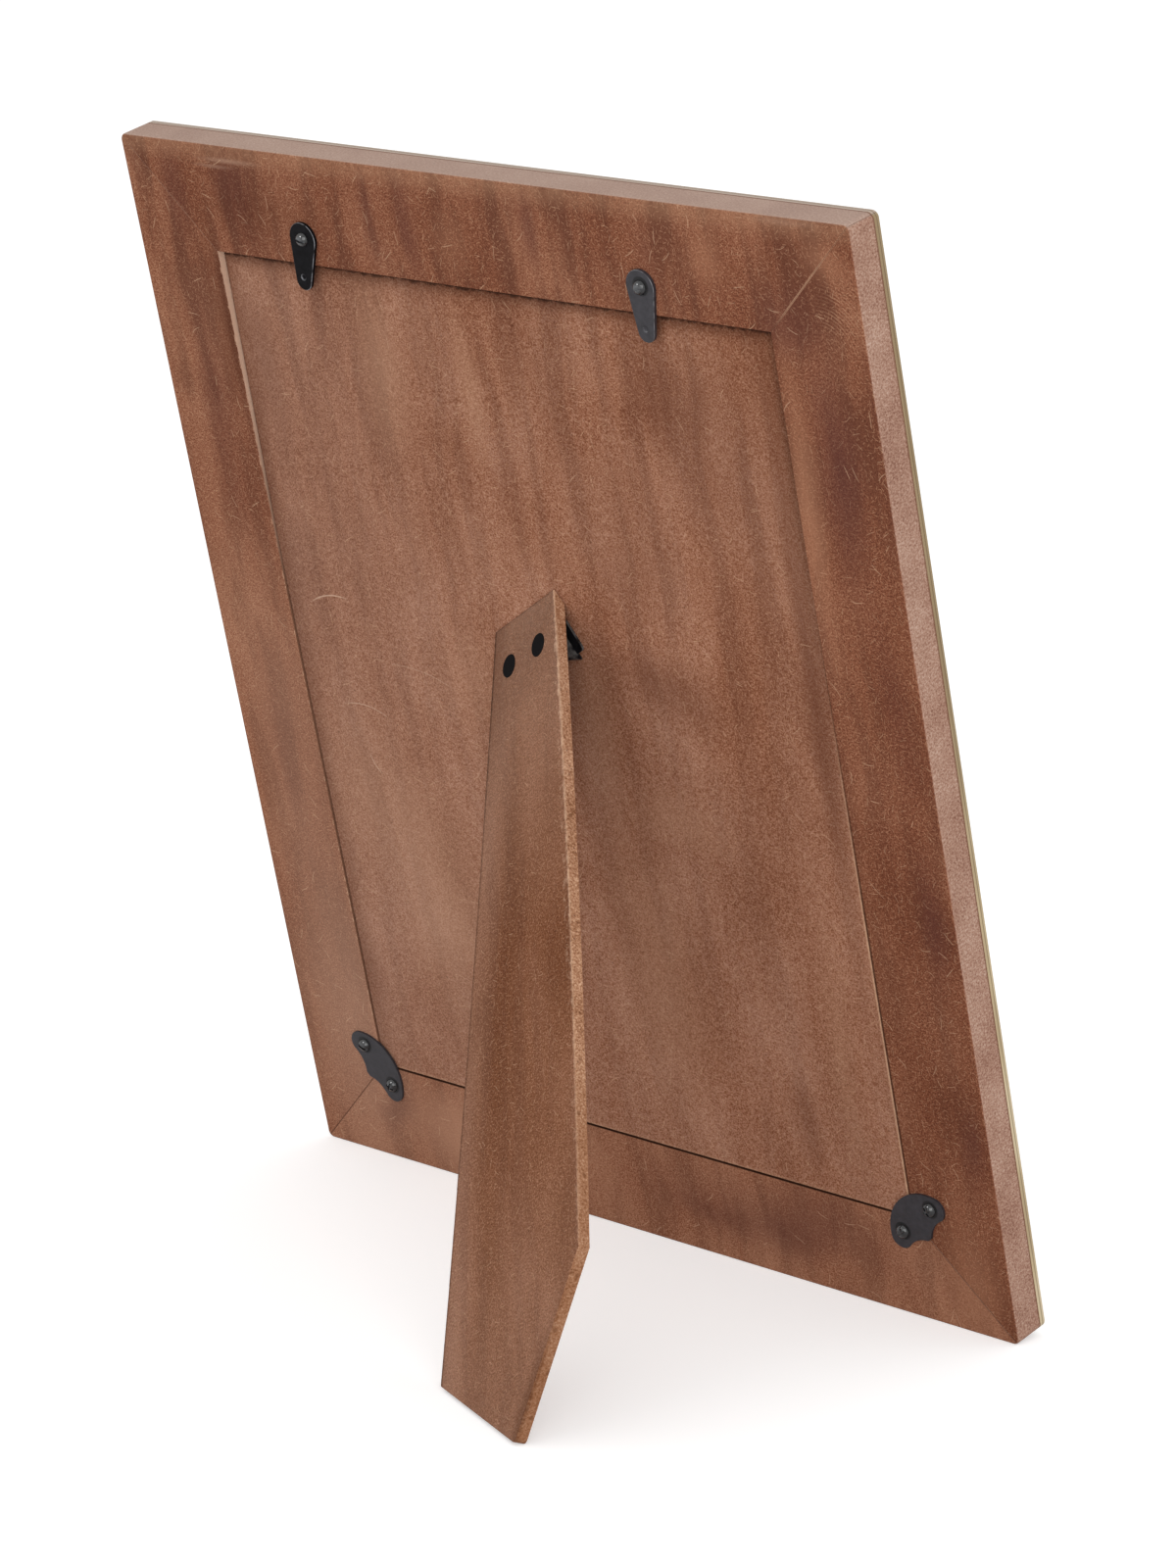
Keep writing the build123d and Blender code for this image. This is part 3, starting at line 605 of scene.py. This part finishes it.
edge = tinted(tree, edge, "#74472c", toe, 0.35)
edge = tinted(tree, edge, "#7d4f32", at_top, 0.25)
low_down = add(tree, "MapRange", {"Value": y, "From Min": LOW_FROM, "From Max": LOW_TO})
edge = tinted(tree, edge, "#7d4f32", low_down, 0.4)
dents = specks(tree, place, cell=3.4, radius=0.9, share=0.4)
edge = tinted(tree, edge, "#694129", dents, 0.6)
fur = clouded(tree, place, (1.4, 1.9, 1.4), detail=3.0, roughness=0.7)
fur_width = add(tree, "Math", {0: fur, 1: 1.1, 2: 0.12}, operation="MULTIPLY_ADD")
below_corner = add(tree, "Math", {0: LEG_FACE, 1: z}, operation="SUBTRACT")
below_corner = add(tree, "Math", {0: below_corner, 1: fur_width}, operation="DIVIDE")
uncut = add(tree, "Math", {0: 1.0, 1: foot_cut}, operation="SUBTRACT")
higher = add(
    tree, "MapRange", {"Value": y, "From Min": FRAYED_FROM, "From Max": FRAYED_TO, "To Min": 0.4}
)
uncut = add(tree, "Math", {0: uncut, 1: higher}, operation="MULTIPLY")
edge = lined(tree, edge, "#dfbc9f", below_corner, 0.5, 1.1, 0.4, uncut)
frayed = add(tree, "Math", {0: fur, 1: uncut}, operation="MULTIPLY")
face = lined(tree, face, "#dfbc9f", out_x, 0.3, 0.06, 0.6, frayed)
to_right = add(tree, "Math", {0: y, 1: -LEG_TAPER, 2: LEG_RIGHT}, operation="MULTIPLY_ADD")
to_right = add(tree, "Math", {0: to_right, 1: x}, operation="SUBTRACT")
tufts = add(tree, "MapRange", {"Value": fur, "From Min": 0.55, "From Max": 0.95})
tufts = add(tree, "Math", {0: tufts, 1: uncut}, operation="MULTIPLY")
face = lined(tree, face, "#d9b599", to_right, 0.2, 1.0, 0.45, tufts)
# Painted shade of the rounded edge: a dark band along the slanted foot, on the face, its rounded corner and
# the edge
toe_shade = add(tree, "Math", {0: rag, 1: toe}, operation="MULTIPLY")
to_slant = add(tree, "VectorMath", {0: place, 1: SLANT_NORMAL}, operation="DOT_PRODUCT")
to_slant = add(tree, "Math", {0: to_slant.outputs["Value"], 1: SLANT_REACH}, operation="ADD")
face = lined(tree, face, "#54321f", to_slant, 0.5, 5.0, 0.5, toe)
face = lined(tree, face, "#4a2a1a", out_x, 0.3, 0.06, 0.9, toe_shade)
edge = lined(tree, edge, "#54301d", z, LEG_FACE - 0.4, LEG_FACE - 1.4, 0.95, toe_shade)
board_shader(tree, edge, face, out_z, relief, roughness=0.75)

# Facing: wood painted a dull olive cream, with brush marks along each length. Its edge is darker and browner
# towards the top of the sides, a painted shade, and greyer along the top
facing_paint, tree = new_material("painted_wood_facing")
place, normal = laid_out(tree, back_origin, back_axes)
x, y, z = add(tree, "SeparateXYZ", {0: place}).outputs
_, out_y, out_z = add(tree, "SeparateXYZ", {0: normal}).outputs
past_side, past_end = beyond(tree, x, y, half_width, half_height)
is_end = add(tree, "Math", {0: past_end, 1: past_side}, operation="GREATER_THAN")
upright = clouded(tree, place, (0.9, 34.0, 6.0), detail=3.0)
level = clouded(tree, place, (34.0, 0.9, 6.0), detail=3.0)
brush = add(tree, "Mix", {"Factor": is_end, "A": upright, "B": level}, data_type="FLOAT")
paint = add(
    tree, "ValToRGB", {0: brush}, stops=((0.1, "#ad9877"), (0.5, "#bda986"), (0.9, "#cab898"))
)
# Painted shade: the facing's edges darken towards the top
mid_side = add(tree, "Math", {0: y, 1: FACING_SHADE_MIDDLE}, operation="SUBTRACT")
behind = add(tree, "Math", {0: out_z, 1: -0.5}, operation="GREATER_THAN")
paint = lined(tree, paint, "#7a6242", mid_side, 40.0, -60.0, 0.66, behind)
paint = lined(tree, paint, "#b5a295", out_y, 0.8, 0.5, 0.75)
seam = add(tree, "Math", {0: z, 1: RAIL_THICKNESS + SEAM_DEPTH}, operation="ADD")
seam = add(tree, "Math", {0: seam}, operation="ABSOLUTE")
paint = lined(tree, paint, "#57442c", seam, 0.08, 0.3, 0.55)
shader = add(
    tree, "BsdfPrincipled", {"Base Color": paint, "Roughness": 0.5, "Specular IOR Level": 0.25}
)
add(tree, "OutputMaterial", {"Surface": shader})

# Pane: clear float glass that lets the lamps through
pane, tree = new_material("clear_float_glass")
glass = add(
    tree, "BsdfPrincipled",
    {"Base Color": colour("#fafdfb"), "Roughness": 0.0, "IOR": 1.5, "Transmission Weight": 1.0},
)
clear = add(tree, "BsdfTransparent", {"Color": colour("#fcfefd")})
ray = add(tree, "LightPath")
shader = add(tree, "MixShader", {0: ray.outputs["Is Shadow Ray"], 1: glass, 2: clear})
add(tree, "OutputMaterial", {"Surface": shader})

# Print: a plain sheet of matt photographic paper with a faint tooth
paper, tree = new_material("matt_photo_paper")
place, _ = laid_out(tree, back_origin, back_axes)
tooth = clouded(tree, place, (0.8, 0.8, 0.8), detail=3.0)
sheet = add(tree, "ValToRGB", {0: tooth}, stops=((0.0, "#e7e5de"), (1.0, "#f1f0ea")))
shader = add(tree, "BsdfPrincipled", {"Base Color": sheet, "Roughness": 0.6})
add(tree, "OutputMaterial", {"Surface": shader})


def black_steel(name, dark, pale, roughness, shine, worn, wear_and_highlight_from, wear_and_highlight_to, wear_and_highlight, walls=0.0, seats=()):
    """Blacked steel: a thin cloudy oxide with a low sheen, worn greyer at some tilts to the back; that
    greyer tint is also a painted highlight.

    It has a painted shadow ring round each screw that sits in the seats."""
    made, tree = new_material(name)
    place, normal = laid_out(tree, back_origin, back_axes)
    out = add(tree, "SeparateXYZ", {0: normal}).outputs[2]
    clouds = clouded(tree, place, (1.8, 1.8, 1.8), detail=4.0, roughness=0.65)
    skin = add(tree, "ValToRGB", {0: clouds}, stops=((0.1, dark), (0.9, pale)))
    patches = clouded(tree, place, (2.2, 2.2, 2.2), detail=3.0, low=0.35, high=0.6)
    off_walls = add(tree, "MapRange", {"Value": out, "From Min": 0.1, "From Max": 0.4, "To Min": walls})
    patches = add(tree, "Math", {0: patches, 1: off_walls}, operation="MULTIPLY")
    # The worn tint at these tilts is partly a painted highlight on rims and head tops
    skin = lined(tree, skin, worn, out, wear_and_highlight_from, wear_and_highlight_to, wear_and_highlight, patches)
    # Painted shadow: a dark ring round each screw's seat
    for seat in seats:
        near = add(tree, "VectorMath", {0: place, 1: seat}, operation="DISTANCE")
        skin = lined(tree, skin, "#060607", near, SEAT_SHADOW_FULL, SEAT_SHADOW_GONE, 0.95)
    rough = add(
        tree, "MapRange", {"Value": clouds, "To Min": roughness - 0.08, "To Max": roughness + 0.08}
    )
    shader = add(
        tree, "BsdfPrincipled", {"Base Color": skin, "Roughness": rough, "Specular IOR Level": shine}
    )
    add(tree, "OutputMaterial", {"Surface": shader})
    return made


# Sheet pieces are worn along their rims, and screws on top of their heads, where the driver slips; these
# paler rims and head tops are also a painted highlight
steel_black = black_steel(
    "blacked_steel_dark", "#0a090b", "#151417", roughness=0.42, shine=0.06,
    worn="#a6a7ac", wear_and_highlight_from=0.75, wear_and_highlight_to=0.95, wear_and_highlight=0.7,
)
steel_worn = black_steel(
    "blacked_steel_hinge", "#0a090b", "#18171a", roughness=0.42, shine=0.15,
    worn="#8f8a86", wear_and_highlight_from=0.75, wear_and_highlight_to=0.95, wear_and_highlight=0.5, walls=0.7,
)
steel_grey = black_steel(
    "blacked_steel_grey", "#28262a", "#363439", roughness=0.45, shine=0.35,
    worn="#9b9ca0", wear_and_highlight_from=0.75, wear_and_highlight_to=0.95, wear_and_highlight=0.5, seats=SEATS,
)
screw_black = black_steel(
    "black_lacquered_screws", "#0c0c0e", "#18181a", roughness=0.16, shine=0.8,
    worn="#75777b", wear_and_highlight_from=0.98, wear_and_highlight_to=0.75, wear_and_highlight=0.4,
)
rivet_black = black_steel(
    "black_painted_rivets", "#070608", "#0f0e10", roughness=0.55, shine=0.03,
    worn="#2a292b", wear_and_highlight_from=0.98, wear_and_highlight_to=0.75, wear_and_highlight=0.15,
)

finishes = {
    "backboard": board, "easel_leg": leg, "glass_pane": pane, "photo_insert": paper,
    "turn_button_left": steel_black, "turn_button_right": steel_grey,
    "corner_plate_left": steel_grey, "corner_plate_right": steel_grey,
    "hinge_board_bracket": steel_worn, "hinge_leg_leaf": steel_worn, "hinge_pin": steel_worn,
    "turn_button_screw_left": screw_black, "turn_button_screw_right": screw_black,
    "corner_screws_left": screw_black, "corner_screws_right": screw_black,
    "leg_rivets": rivet_black, "bracket_rivets": rivet_black,
}
for side in ("top", "bottom", "left", "right"):
    finishes[f"rail_{side}"] = rails
    finishes[f"facing_{side}"] = facing_paint
for name, finish in finishes.items():
    nodes[name].material_slots[0].material = finish

# Floor: a plain pale sheet, lifted towards white for the camera, that keeps the shadow
bpy.ops.object.select_all(action="DESELECT")
bpy.ops.mesh.primitive_plane_add(size=FLOOR_SIZE, location=(0, 0, 0))
floor = bpy.context.object
floor.name = "floor"
floor_paint, tree = new_material("pale_floor")
ray = add(tree, "LightPath")
matt = add(tree, "BsdfDiffuse", {"Color": colour("#e6e6e6")})
lift = add(tree, "Math", {0: ray.outputs["Is Camera Ray"], 1: 0.42}, operation="MULTIPLY")
glow = add(tree, "Emission", {"Color": colour("#ffffff"), "Strength": lift})
fade = add(tree, "AddShader", {0: matt, 1: glow})
add(tree, "OutputMaterial", {"Surface": fade})
floor.data.materials.append(floor_paint)

# World: even white studio light, and plain white where it is seen
world = bpy.data.worlds.new("studio")
scene.world = world
world.use_nodes = True
tree = world.node_tree
tree.nodes.clear()
ray = add(tree, "LightPath")
seen = add(
    tree, "Math", {0: ray.outputs["Is Camera Ray"], 1: ray.outputs["Is Glossy Ray"]}, operation="MAXIMUM"
)
seen = add(tree, "Math", {0: seen, 1: ray.outputs["Is Transmission Ray"]}, operation="MAXIMUM")
level = add(tree, "MapRange", {"Value": seen, "To Min": 0.86, "To Max": 1.0})
sky = add(tree, "Background", {"Color": colour("#ffffff"), "Strength": level})
add(tree, "OutputWorld", {"Surface": sky})


def lamp(name, place, target, size, power):
    """A soft square lamp aimed at a point."""
    made = bpy.data.lights.new(name, "AREA")
    made.size = size
    made.energy = power
    hung = bpy.data.objects.new(name, made)
    scene.collection.objects.link(hung)
    hung.location = place
    hung.rotation_euler = (Vector(target) - Vector(place)).to_track_quat("-Z", "Y").to_euler()
    return hung


# Lamps: a soft key, a broad fill, and a spark that gives only glints, as on the screws
lamp("key", (0.35, 1.10, 0.95), (0, 0, 0.15), size=1.4, power=1.2)
spark = lamp("spark", (0.30, 1.00, 0.95), (0, 0, 0.15), size=0.18, power=4.0)
spark.visible_diffuse = False
lamp("fill", (-1.1, 1.05, 0.45), (0, 0, 0.12), size=1.2, power=11.0)

# Camera, at the photograph's viewing angle
view = bpy.data.cameras.new("camera")
view.sensor_width = SENSOR_WIDTH
view.lens = LENS
view.clip_start = CLIP_START
eye = bpy.data.objects.new("camera", view)
scene.collection.objects.link(eye)
right = Vector(CAMERA_RIGHT).normalized()
ahead = Vector(CAMERA_AHEAD).normalized()
up = right.cross(ahead).normalized()
right = ahead.cross(up)
turn = Matrix((right, up, -ahead)).transposed().to_4x4()
eye.matrix_world = Matrix.Translation(CAMERA_PLACE) @ turn
scene.camera = eye
scene.view_settings.view_transform = "Standard"
